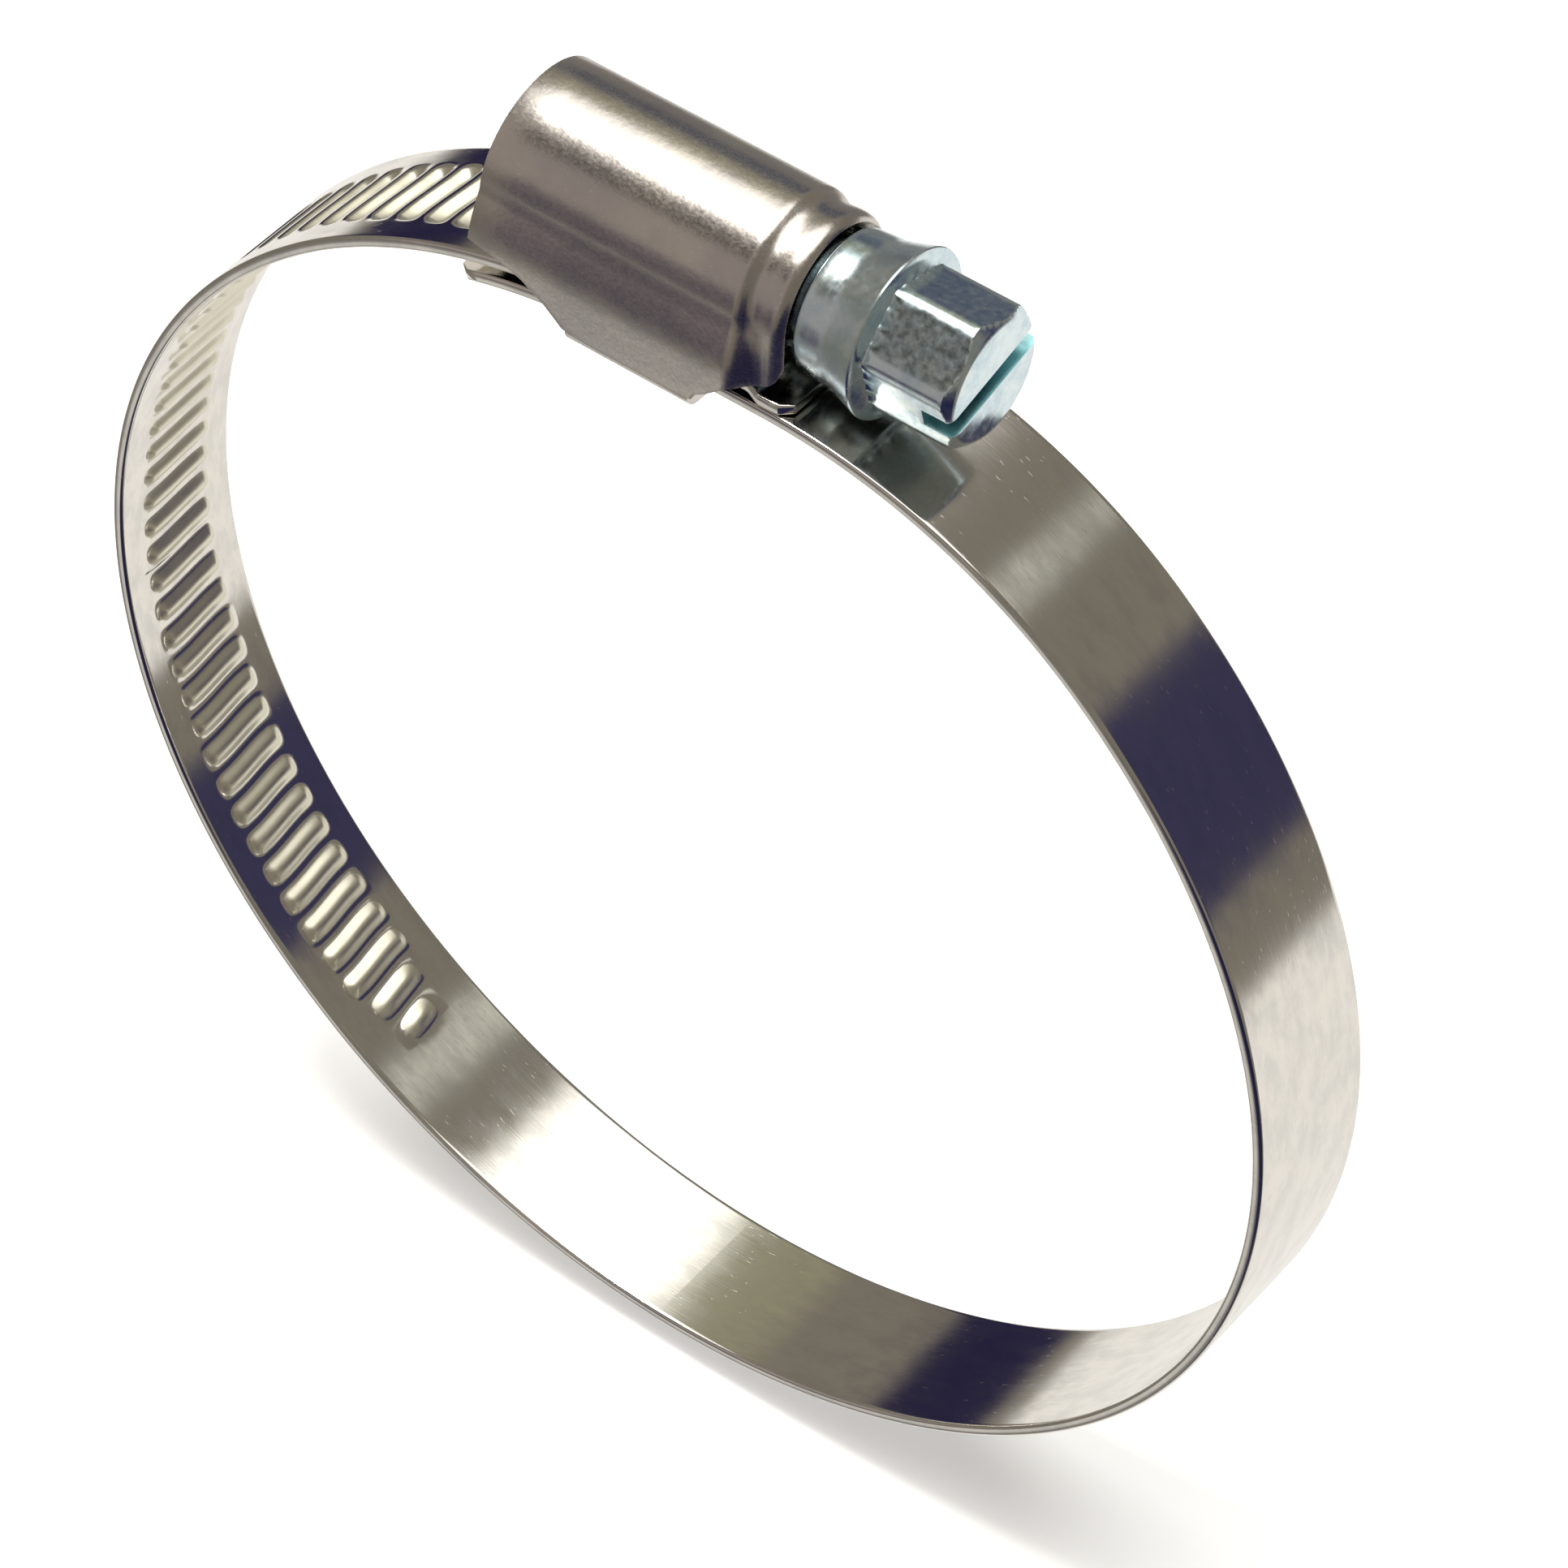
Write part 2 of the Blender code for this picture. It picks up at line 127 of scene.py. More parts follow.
# Housing
WALL = 0.75 * MM
HOUSING_RADIUS = HOUSING_HIGH.z - SCREW_Z
HOUSING_HALF_WIDTH = HOUSING_HIGH.y
HOUSING_BOTTOM_Z = HOUSING_LOW.z
FOLD_RADIUS = 0.9 * MM
FLARE_Z = 38.4 * MM  # the walls spread down to here, then run straight
FLANGE_YS = (3.2, 1.7, 0.25)  # along a flange from its fold to the seam, in millimetres
BACK_SLANT = 0.09
WALL_BLEND = (50.0, 75.0)  # degrees from straight up where the top turns into the wall, and over how many
ARC_STEP, WALL_STEPS, FOLD_STEPS = 6, 9, 6  # degrees round the top, then counts
SHEET_EDGE = 0.11 * MM

# Screw
HEX_END_X = SCREW_HIGH.x
HEX_START_X = 11.5 * MM
COLLAR_X = 7.35 * MM
COLLAR_RADIUS = 3.99 * MM
COLLAR_TAPER = 0.09 * MM
COLLAR_FLARE_X, COLLAR_FLARE_POWER = 9.1 * MM, 1.12
COLLAR_RIM_X = HEX_START_X - 0.28 * MM
COLLAR_RIM_RADIUS = 4.7 * MM
COLLAR_LIP = (0.25 * MM, 0.2 * MM)  # length and depth of the rounding where the collar starts
RIM_FACE = ((0.10, 4.66), (0.16, 4.52), (0.18, 4.25))  # distance past the rim and radius, in millimetres
PILOT = ((0.0, 1.9), (0.1, 2.12), (0.3, 2.3))  # distance from the tip and radius, in millimetres
WORM_START_X, WORM_END_X = -9.6 * MM, 4.9 * MM
WORM_CREST, WORM_ROOT = 3.9 * MM, 3.1 * MM
CREST_HALF, FLANK = 0.10, 0.2  # of the thread's outline, in pitches
RUN_IN, RUN_OUT = 0.5, 0.35  # over how many pitches the thread rises and ends
WORM_RINGS_PER_PITCH, WORM_SIDES = 18, 96
WORM_STEP = 0.2 * MM  # length of the steps from the worm down to the pilot and to the journal
JOURNAL_RADIUS = 3.2 * MM
JOURNAL_OVERLAP = 0.3 * MM  # how far the journal runs into the collar
HEX_HALF_FLATS = 3.5 * MM
HEX_ROUND_START, HEX_ROUND_LIMIT = 3.76 * MM, 3.94 * MM
HEX_FLAT_ANGLE = math.radians(15.0)
HEAD_SIDES = 192
CHAMFER_RADIUS, CHAMFER_SLOPE = 3.28 * MM, 1.15
END_FACE = ((0.02, 3.2), (0.0, 3.12))  # distance from the head's end and radius, in millimetres
HEAD_EDGE = 0.05 * MM
PRESS_MARKS, PRESS_MARK_HEIGHT, PRESS_MARK_LENGTH = 24.0, 0.045 * MM, 0.3 * MM
SLOT_WIDTH, SLOT_DEPTH = 1.2 * MM, 1.8 * MM
SLOT_MARGIN = 1.0 * MM  # how far the slot's cutter stands out of the head's end

# Edges that turn through more than these many degrees are shaded sharp
BAND_SHARP, HOUSING_SHARP, WORM_SHARP, HEAD_SHARP = 38.0, 50.0, 40.0, 30.0


def smooth_step(t):
    t = min(max(t, 0.0), 1.0)
    return t * t * (3.0 - 2.0 * t)


# ---- camera, light and floor ---------------------------------------------------------------------

CAMERA_AZIMUTH = math.radians(37.38)
CAMERA_ELEVATION = math.radians(46.78)
CAMERA_ROLL = math.radians(0.93)
CAMERA_DISTANCE = 0.3695
CAMERA_LENS = 157.2
CAMERA_SHIFT = (0.0451, 0.0183)


def add_camera():
    a, e = CAMERA_AZIMUTH, CAMERA_ELEVATION
    back = Vector((math.sin(a) * math.cos(e), -math.cos(a) * math.cos(e), math.sin(e)))
    level = Vector((math.cos(a), math.sin(a), 0.0))
    upright = back.cross(level)
    right = math.cos(CAMERA_ROLL) * level + math.sin(CAMERA_ROLL) * upright
    up = math.cos(CAMERA_ROLL) * upright - math.sin(CAMERA_ROLL) * level
    camera = bpy.data.objects.new("camera", bpy.data.cameras.new("camera"))
    bpy.context.scene.collection.objects.link(camera)
    turn = Matrix((right, up, back)).transposed().to_4x4()
    camera.matrix_world = Matrix.Translation(back * CAMERA_DISTANCE) @ turn
    camera.data.lens = CAMERA_LENS
    camera.data.shift_x, camera.data.shift_y = CAMERA_SHIFT
    camera.data.clip_start, camera.data.clip_end = 0.01, 20.0
    bpy.context.scene.camera = camera


class Nodes:
    """Short calls that add nodes to a tree and link them."""

    def __init__(self, tree):
        self.tree = tree
        tree.nodes.clear()

    def add(self, kind, inputs=None, **settings):
        node = self.tree.nodes.new(kind)
        for name, value in settings.items():
            setattr(node, name, value)
        for name, value in (inputs or {}).items():
            if isinstance(value, bpy.types.NodeSocket):
                self.tree.links.new(value, node.inputs[name])
            else:
                node.inputs[name].default_value = value
        return node

    def math(self, operation, a, b=0.0):
        return self.add("ShaderNodeMath", {0: a, 1: b}, operation=operation).outputs[0]

    def range(self, value, low, high, to_low, to_high, smooth=False):
        kind = "SMOOTHSTEP" if smooth else "LINEAR"
        inputs = {"Value": value, "From Min": low, "From Max": high, "To Min": to_low, "To Max": to_high}
        return self.add("ShaderNodeMapRange", inputs, interpolation_type=kind).outputs["Result"]

    def noise(self, vector, scale, detail=2.0, roughness=0.5, output="Fac"):
        inputs = {"Vector": vector, "Scale": scale, "Detail": detail, "Roughness": roughness}
        return self.add("ShaderNodeTexNoise", inputs).outputs[output]

    def mapped(self, vector, scale):
        return self.add("ShaderNodeMapping", {"Vector": vector, "Scale": scale}).outputs["Vector"]

    def vector_math(self, operation, inputs, output=0):
        return self.add("ShaderNodeVectorMath", inputs, operation=operation).outputs[output]

    def mix(self, factor, a, b):
        """Mixes two colours. The node has the same socket names for each data type, so these are numbers."""
        return self.add("ShaderNodeMix", {0: factor, 6: a, 7: b}, data_type="RGBA").outputs[2]

    def bump(self, height, distance, normal=None):
        inputs = {"Height": height, "Distance": distance, "Strength": 1.0}
        if normal is not None:
            inputs["Normal"] = normal
        return self.add("ShaderNodeBump", inputs).outputs["Normal"]


# The studio as the metals show it: soft round areas, each laid over those before it. A row is the direction
# of its centre, the half angles in degrees between which it fades out, and its colour.
STUDIO_BASE = (0.22, 0.20, 0.168, 1.0)
STUDIO_PATCHES = (
    ((-0.09, 0.60, -0.79), 55.5, 59, (0.97, 0.94, 0.89, 1.0)),  # pale table and wall on the far side
    ((-0.35, 0.93, 0.10), 24, 32, (0.22, 0.205, 0.19, 1.0)),
    ((-0.416, 0.836, 0.359), 6, 14, (0.08, 0.09, 0.125, 1.0)),
    ((0.821, 0.544, 0.174), 14, 17.5, (0.045, 0.042, 0.095, 1.0)),
    ((0.433, 0.544, 0.718), 1.5, 6, (0.66, 0.66, 0.58, 1.0)),
    ((-0.834, 0.544, 0.088), 9.5, 12.5, (0.02, 0.017, 0.055, 1.0)),
    ((-0.445, 0.544, 0.71), 9, 15, (0.31, 0.295, 0.20, 1.0)),
    ((-0.416, -0.80, 0.30), 24, 40, (0.36, 0.32, 0.295, 1.0)),
    ((-0.416, -0.87, -0.20), 4, 9, (0.10, 0.085, 0.12, 1.0)),
    ((-0.416, -0.544, -0.729), 14, 24, (0.25, 0.235, 0.22, 1.0)),
    ((-0.45, -0.80, -0.40), 3, 10, (0.09, 0.075, 0.11, 1.0)),
    ((0.10, -0.70, -0.70), 14, 24, (0.03, 0.03, 0.075, 1.0)),
    ((-0.416, -0.544, -0.729), 5, 9, (0.66, 0.64, 0.60, 1.0)),
    ((0.56, -0.62, -0.45), 24, 34, (0.02, 0.018, 0.055, 1.0)),
    ((-0.38, -0.60, 0.70), 7, 15, (0.04, 0.037, 0.025, 1.0)),
    ((-0.12, 0.10, 0.99), 28.5, 31.5, (1.95, 1.92, 1.8, 1.0)),  # overhead softbox
)
BACKDROP_COLOUR = (0.93, 0.93, 0.93, 1.0)
WANDER = 0.06  # how far the outlines stray from circles


def build_world():
    world = bpy.data.worlds.new("studio")
    bpy.context.scene.world = world
    world.use_nodes = True
    nodes = Nodes(world.node_tree)
    direction = nodes.add("ShaderNodeTexCoord").outputs["Generated"]
    wander = nodes.noise(direction, 2.2, 1.0, output="Color")
    wander = nodes.vector_math("SUBTRACT", {0: wander, 1: (0.5, 0.5, 0.5)})
    wander = nodes.vector_math("SCALE", {0: wander, "Scale": WANDER})
    bent = nodes.vector_math("ADD", {0: direction, 1: wander})
    bent = nodes.vector_math("NORMALIZE", {0: bent})
    colour = STUDIO_BASE
    for centre, inner, outer, patch in STUDIO_PATCHES:
        towards = tuple(Vector(centre).normalized())
        facing = nodes.vector_math("DOT_PRODUCT", {0: bent, 1: towards}, "Value")
        low, high = math.cos(math.radians(outer)), math.cos(math.radians(inner))
        colour = nodes.mix(nodes.range(facing, low, high, 0.0, 1.0, smooth=True), colour, patch)
    seen = nodes.add("ShaderNodeLightPath").outputs["Is Camera Ray"]
    colour = nodes.mix(seen, colour, BACKDROP_COLOUR)
    back = nodes.add("ShaderNodeBackground", {"Color": colour, "Strength": 1.0}).outputs[0]
    nodes.add("ShaderNodeOutputWorld", {"Surface": back})


FLOOR_HALF = 3.0
FLOOR_CLEARANCE = 2.0 * MM  # the loop hangs lower when it is let out


def build_floor():
    mesh = bpy.data.meshes.new("floor")
    half = FLOOR_HALF
    z = cad_low.z - FLOOR_CLEARANCE
    corners = [(-half, -half, z), (half, -half, z), (half, half, z), (-half, half, z)]
    mesh.from_pydata(corners, [], [(0, 1, 2, 3)])
    floor = bpy.data.objects.new("floor", mesh)
    bpy.context.scene.collection.objects.link(floor)
    material = bpy.data.materials.new("pale_floor")
    material.use_nodes = True
    nodes = Nodes(material.node_tree)
    place = nodes.add("ShaderNodeTexCoord").outputs["Object"]
    tone = nodes.range(nodes.noise(place, 60.0, 3.0), 0.3, 0.7, 0.0, 1.0)
    colour = nodes.mix(tone, (0.90, 0.90, 0.90, 1.0), (0.93, 0.93, 0.92, 1.0))
    shader = nodes.add("ShaderNodeBsdfPrincipled", {"Base Color": colour, "Roughness": 0.75}).outputs[0]
    nodes.add("ShaderNodeOutputMaterial", {"Surface": shader})
    mesh.materials.append(material)
    floor.visible_glossy = False


def build_lights():
    """A shadowless overhead fill for the floor, and a small warm key that the metals show as glints."""
    fill = bpy.data.objects.new("fill", bpy.data.lights.new("fill", "SUN"))
    fill.data.energy = 2.3
    fill.data.angle = math.radians(60.0)
    fill.data.use_shadow = False
    fill.visible_glossy = False
    bpy.context.scene.collection.objects.link(fill)
    key = bpy.data.objects.new("key", bpy.data.lights.new("key", "AREA"))
    key.data.energy = 1.1
    key.data.size = 0.09
    key.data.color = (1.0, 0.97, 0.92)
    key.location = (-0.10, -0.06, 0.42)
    key.rotation_euler = Vector(key.location).to_track_quat("Z", "Y").to_euler()
    bpy.context.scene.collection.objects.link(key)


# ---- metals --------------------------------------------------------------------------------------


def new_metal(name):
    material = bpy.data.materials.new(name)
    material.use_nodes = True
    return material, Nodes(material.node_tree)


def close_metal(material, nodes, colour, roughness, normal):
    inputs = {"Base Color": colour, "Roughness": roughness, "Normal": normal, "Metallic": 1.0}
    shader = nodes.add("ShaderNodeBsdfPrincipled", inputs).outputs[0]
    nodes.add("ShaderNodeOutputMaterial", {"Surface": shader})
    return material


def band_steel():
    """Bright-rolled stainless strip, slightly wavy, with rolling lines, smears, scratches and satin grooves."""
    material, nodes = new_metal("bright_rolled_steel")
    place = nodes.add("ShaderNodeUVMap", uv_map="strip_mm").outputs[0]
    lines = nodes.noise(nodes.mapped(place, (0.25, 14.0, 1.0)), 1.0, 3.0, 0.6)
    waves = nodes.noise(nodes.mapped(place, (0.10, 0.22, 1.0)), 1.0, 1.5)
    smears = nodes.noise(nodes.mapped(place, (0.35, 0.8, 1.0)), 1.0, 4.0, 0.62)
    scratch = nodes.noise(nodes.mapped(place, (1.3, 7.0, 1.0)), 1.0, 1.0)
    scratch = nodes.range(scratch, 0.70, 0.76, 0.0, 1.0, smooth=True)
    tone = nodes.range(smears, 0.35, 0.68, 0.0, 1.0, smooth=True)
    colour = nodes.mix(tone, (0.80, 0.775, 0.73, 1.0), (0.70, 0.685, 0.655, 1.0))
    colour = nodes.mix(nodes.math("MULTIPLY", scratch, 0.35), colour, (0.90, 0.89, 0.86, 1.0))
    roughness = nodes.range(smears, 0.3, 0.75, 0.09, 0.17)
    roughness = nodes.math("ADD", roughness, nodes.math("MULTIPLY", nodes.math("SUBTRACT", lines, 0.5), 0.08))
    pressed = nodes.add("ShaderNodeAttribute", attribute_name="pressed").outputs["Fac"]
    satin = nodes.range(pressed, 0.03, 0.30, 0.0, 1.0, smooth=True)
    colour = nodes.mix(satin, colour, (0.80, 0.775, 0.65, 1.0))
    roughness = nodes.math("ADD", roughness, nodes.math("MULTIPLY", satin, 0.24))
    normal = nodes.bump(waves, 0.02 * MM)
    normal = nodes.bump(lines, 0.0010 * MM, normal)
    normal = nodes.bump(scratch, 0.0016 * MM, normal)
    return close_metal(material, nodes, colour, roughness, normal)


def housing_steel():
    """Deep-drawn sheet steel with the grain of stretched metal and a satin finish."""
    material, nodes = new_metal("drawn_satin_steel")
    place = nodes.add("ShaderNodeTexCoord").outputs["Object"]
    grain = nodes.noise(nodes.mapped(place, (4200.0, 6200.0, 6200.0)), 1.0, 3.0, 0.65)
    peel = nodes.noise(place, 1500.0, 2.0)
    blotch = nodes.noise(place, 260.0, 3.0, 0.6)
    spark = nodes.range(nodes.noise(place, 3300.0, 3.0, 0.75), 0.63, 0.72, 0.0, 1.0, smooth=True)
    tone = nodes.range(blotch, 0.32, 0.68, 0.0, 1.0, smooth=True)
    colour = nodes.mix(tone, (0.70, 0.655, 0.60, 1.0), (0.60, 0.565, 0.545, 1.0))
    colour = nodes.mix(nodes.math("MULTIPLY", spark, 0.6), colour, (0.95, 0.92, 0.86, 1.0))
    roughness = nodes.range(grain, 0.25, 0.75, 0.19, 0.31)
    normal = nodes.bump(peel, 0.010 * MM)
    normal = nodes.bump(grain, 0.0035 * MM, normal)
    return close_metal(material, nodes, colour, roughness, normal)


def zinc_plate(name, light, dark, rough):
    """Clear-passivated zinc: a cool, slightly mottled bright plate with fine turning marks."""
    material, nodes = new_metal(name)
    place = nodes.add("ShaderNodeTexCoord").outputs["Object"]
    mottle = nodes.noise(place, 750.0, 4.0, 0.65)
    spots = nodes.noise(place, 2600.0, 2.0)
    turned = nodes.noise(nodes.mapped(place, (9000.0, 500.0, 500.0)), 1.0, 1.0)
    tone = nodes.range(mottle, 0.30, 0.70, 0.0, 1.0, smooth=True)
    colour = nodes.mix(tone, light, dark)
    roughness = nodes.range(spots, 0.25, 0.75, rough, rough + 0.14)
    normal = nodes.bump(mottle, 0.006 * MM)
    normal = nodes.bump(spots, 0.0025 * MM, normal)
    normal = nodes.bump(turned, 0.0012 * MM, normal)
    return close_metal(material, nodes, colour, roughness, normal)


# ---- band ----------------------------------------------------------------------------------------


class BandLine:
    """Middle line of one half of the band, the same as the frame's: flat, one arc, then the loop's circle."""

    def __init__(self, side, flat_x, flat_z):
        self.side = side
        self.flat_x = flat_x
        self.flat_z = flat_z
        free = LOOP_RADIUS**2 - flat_z**2 - flat_x**2
        self.radius = free / (2.0 * (LOOP_RADIUS - flat_z))
        self.centre = (flat_x, flat_z - self.radius)
        self.meet = math.atan2(self.centre[1], flat_x)
        self.arc_length = self.radius * (math.pi / 2.0 - self.meet)

    def at(self, length):
        if length <= 0.0:
            x, z, angle = self.flat_x + length, self.flat_z, math.pi / 2.0
        elif length <= self.arc_length:
            angle = math.pi / 2.0 - length / self.radius
            x = self.centre[0] + self.radius * math.cos(angle)
            z = self.centre[1] + self.radius * math.sin(angle)
        else:
            angle = self.meet - (length - self.arc_length) / LOOP_RADIUS
            x, z = LOOP_RADIUS * math.cos(angle), LOOP_RADIUS * math.sin(angle)
        return Vector((self.side * x, 0.0, z)), Vector((self.side * math.cos(angle), 0.0, math.sin(angle)))

    def length_to(self, angle):
        return self.arc_length + LOOP_RADIUS * (self.meet - angle)


class FixedEndLine(BandLine):
    """The right half, whose flat runs back to the drooping lip behind the housing."""

    def __init__(self):
        super().__init__(1.0, BASE_FLAT_X, BASE_Z)
        strip = BandLine(-1.0, STRIP_FLAT_X, STRIP_Z)
        self.droop = strip.radius - (STRIP_Z - BASE_Z)
        self.flat_end = -(STRIP_FLAT_X + BASE_FLAT_X)

    def at(self, length):
        if length >= self.flat_end:
            return super().at(length)
        angle = (self.flat_end - length) / self.droop
        normal = Vector((-math.sin(angle), 0.0, math.cos(angle)))
        centre = Vector((-STRIP_FLAT_X, 0.0, BASE_Z - self.droop))
        return centre + normal * self.droop, normal

    def lip(self):
        return self.flat_end - self.droop * math.asin((LIP_X - STRIP_FLAT_X) / self.droop)


def tail_drop(line, length):
    """How far the threaded end steps down, past the worm, to lie on the fixed end."""
    if line.side > 0 or length > 0.0:
        return 0.0
    x = -(line.flat_x + length)
    return TAIL_DROP * smooth_step((x - JOGGLE[0]) / (JOGGLE[1] - JOGGLE[0]))


def groove_depth(from_middle):
    reach = (GROOVE_HALF_TOP - abs(from_middle)) / (GROOVE_HALF_TOP - GROOVE_HALF_BOTTOM)
    return smooth_step(reach)


def groove_width(y, number):
    end = GROOVE_END * LAST_GROOVE_LENGTHS.get(number, 1.0)
    return smooth_step((end - abs(y)) / (GROOVE_END - GROOVE_END_BOTTOM))


def groove_lean(y):
    """How far a groove has moved along the strip at y: a shallow S across the width."""
    fade = 1.0 - smooth_step((abs(y) - GROOVE_END) / LEAN_FADE)
    return (GROOVE_SLANT * y + GROOVE_CURL * y**3) * fade


def slant_share(length):
    """1 where the strip is threaded, fading to 0 past the first and last grooves."""
    past = max((FIRST_GROOVE - 0.5) * PITCH - length, length - (LAST_GROOVE + 0.5) * PITCH, 0.0)
    return smooth_step(1.0 - past / SLANT_FADE)


def section_ring():
    """The strip's section as (y, height, side). side is 1 outside, -1 inside and 0 on the rounded edges."""
    half, top, r = BAND_WIDTH / 2.0, BAND_THICKNESS / 2.0, EDGE_ROUND
    flat = [y * MM for y in ACROSS]
    across = flat + [-y for y in reversed(flat[:-1])]
    ring = [(y, top, 1.0) for y in [half - r] + across + [r - half]]
    for i in range(1, EDGE_STEPS):
        a = math.pi / 2.0 + math.pi / 2.0 * i / EDGE_STEPS
        ring.append((r - half + r * math.cos(a), top - r + r * math.sin(a), 0.0))
    ring.append((-half, top - r, 0.0))
    ring.append((-half, r - top, 0.0))
    for i in range(1, EDGE_STEPS):
        a = math.pi + math.pi / 2.0 * i / EDGE_STEPS
        ring.append((r - half + r * math.cos(a), r - top + r * math.sin(a), 0.0))
    ring += [(-y, -height, -side) for y, height, side in ring]
    return ring


def stations(first, last, threaded):
    """Lengths at which the strip's section is set, closer together across each groove."""
    found = {round(first, 9), round(first + SEAM_STEP, 9), round(last - SEAM_STEP, 9), round(last, 9)}
    if threaded:
        number = FIRST_GROOVE
        while number <= LAST_GROOVE:
            middle = number * PITCH
            if first < middle < last:
                found |= {round(middle + sign * o * MM, 9) for o in ALONG_GROOVE for sign in (-1.0, 1.0)}
            number += 1.0
        for i in range(JOGGLE_STEPS + 1):
            x = JOGGLE[0] + (JOGGLE[1] - JOGGLE[0]) * i / JOGGLE_STEPS
            if first < -STRIP_FLAT_X - x < last:
                found.add(round(-STRIP_FLAT_X - x, 9))
    fixed = sorted(found)
    spaced = list(fixed)
    for a, b in zip(fixed, fixed[1:]):
        count = math.ceil((b - a) / PLAIN_STEP)
        spaced += [a + (b - a) * i / count for i in range(1, count)]
    return sorted(spaced)


def strip_piece(name, line, first, last, material, threaded=False, tip=None):
    """One length of the strip as a closed mesh. tip names an end that is rounded off, at first or last."""
    ring = section_ring()
    lengths = stations(first, last, threaded)
    points, places, marks = [], [], []
    for length in lengths:
        number = round(length / PITCH - 0.5) + 0.5
        in_threads = threaded and FIRST_GROOVE <= number <= LAST_GROOVE
        depth = groove_depth(length - number * PITCH) if in_threads else 0.0
        slanting = slant_share(length) if threaded else 0.0
        for y, height, side in ring:
            along = length + slanting * groove_lean(y)
            point, normal = line.at(along)
            point.z -= tail_drop(line, along)
            pressed = depth * groove_width(y, number)
            offset = height
            if side > 0.0:
                offset -= GROOVE_DEPTH * pressed
            elif side < 0.0:
                offset -= RIDGE_HEIGHT * pressed
            if tip is not None:
                offset, y = rounded_tip(offset, y, abs(length - tip))
            point.y = y
            points.append(point + normal * offset)
            places.append((along / MM, y / MM))
            marks.append(pressed if side else 0.0)
    size = len(ring)
    faces = []
    for i in range(len(lengths) - 1):
        for k in range(size):
            a, b = i * size + k, i * size + (k + 1) % size
            faces.append((a, b, b + size, a + size))
    faces.append(tuple(range(size)))
    faces.append(tuple(range(len(points) - size, len(points))))
    return finish_piece(name, points, faces, material, places, marks)


def rounded_tip(offset, y, from_tip):
    """Draws the section in at a cut end, so that the end's corners and edges are rounded."""
    if from_tip < TIP_CORNER:
        draw = TIP_CORNER - math.sqrt(TIP_CORNER**2 - (TIP_CORNER - from_tip) ** 2)
        y *= 1.0 - TIP_NARROWING * draw / (BAND_WIDTH / 2.0)
    if from_tip < TIP_EDGE:
        draw = TIP_EDGE - math.sqrt(TIP_EDGE**2 - (TIP_EDGE - from_tip) ** 2)
        offset *= 1.0 - draw / (BAND_THICKNESS / 2.0)
    return offset, y


def finish_piece(name, points, faces, material, places=None, marks=None, sharp=BAND_SHARP):
    """A smooth-shaded object. A strip also has places in millimetres and how far each point is pressed."""
    mesh = bpy.data.meshes.new(name)
    mesh.from_pydata(points, [], faces)
    if places is not None:
        layer = mesh.uv_layers.new(name="strip_mm")
        for loop in mesh.loops:
            layer.data[loop.index].uv = places[loop.vertex_index]
        mesh.attributes.new(name="pressed", type="FLOAT", domain="POINT").data.foreach_set("value", marks)
    work = bmesh.new()
    work.from_mesh(mesh)
    bmesh.ops.recalc_face_normals(work, faces=work.faces)
    work.to_mesh(mesh)
    work.free()
    mesh.materials.append(material)
    mesh.shade_smooth()
    mesh.set_sharp_from_angle(angle=math.radians(sharp))
    made = bpy.data.objects.new(name, mesh)
    bpy.context.scene.collection.objects.link(made)
    return made


def bend_across(piece, line, first, last, body_a, body_b):
    line.at(first)[0]
    line.at(last)[0]
    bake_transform(piece)


def build_band(steel):
    left = BandLine(-1.0, STRIP_FLAT_X, STRIP_Z)
    right = FixedEndLine()
    bottom = -math.pi / 2.0
    tail = -(TAIL_X + STRIP_FLAT_X)
    hinges = [0.0]
    for number in (2, 3, 4):
        x, _, z = joints[f"left_{number}_flex"]["pos_m"]
        hinges.append(hinge_length(left, x, z))
    seams = [number * PITCH for number in SEAMS] + [left.length_to(bottom)]

    piece = strip_piece("threaded_end", left, tail, seams[0], steel, threaded=True, tip=tail)
    bend_across(piece, left, *TAIL_BEND, "threaded_end", "left_1")
    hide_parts("band_threaded_end")
    for number in (1, 2, 3):
        first, last = seams[number - 1], seams[number]
        piece = strip_piece(f"threaded_side_{number}", left, first, last, steel, threaded=True)
        start = first + SEAM_INSET
        end = 2.0 * hinges[number] - start
        bend_across(piece, left, start, end, f"left_{number}", f"left_{number + 1}")
        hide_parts(*((f"band_left_{number}",) if number < 3 else ("band_left_3", "band_left_4")))

    x, _, z = joints["right_2_flex"]["pos_m"]
    hinges = [right.arc_length, hinge_length(right, x, z)]
    seam = (hinges[0] + hinges[1]) / 2.0
    lip = right.lip()
    piece = strip_piece("fixed_end", right, lip, seam, steel, tip=lip)
    reach = FIXED_BEND_REACH * right.arc_length
    bend_across(piece, right, hinges[0] - reach, hinges[0] + reach, "root", "right_1")
    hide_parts("band_fixed_end", "band_right_1")
    piece = strip_piece("plain_side", right, seam, right.length_to(bottom), steel)
    start = seam + SEAM_INSET
    bend_across(piece, right, start, 2.0 * hinges[1] - start, "right_1", "right_2")
    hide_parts("band_right_2")


def hinge_length(line, x, z):
    """Length along the line to a joint that lies on it."""
    angle = math.atan2(z, line.side * x)
    if angle > line.meet:
        return line.radius * (math.pi / 2.0 - math.atan2(z - line.centre[1], line.side * x - line.centre[0]))
    return line.length_to(angle)


# ---- housing -------------------------------------------------------------------------------------

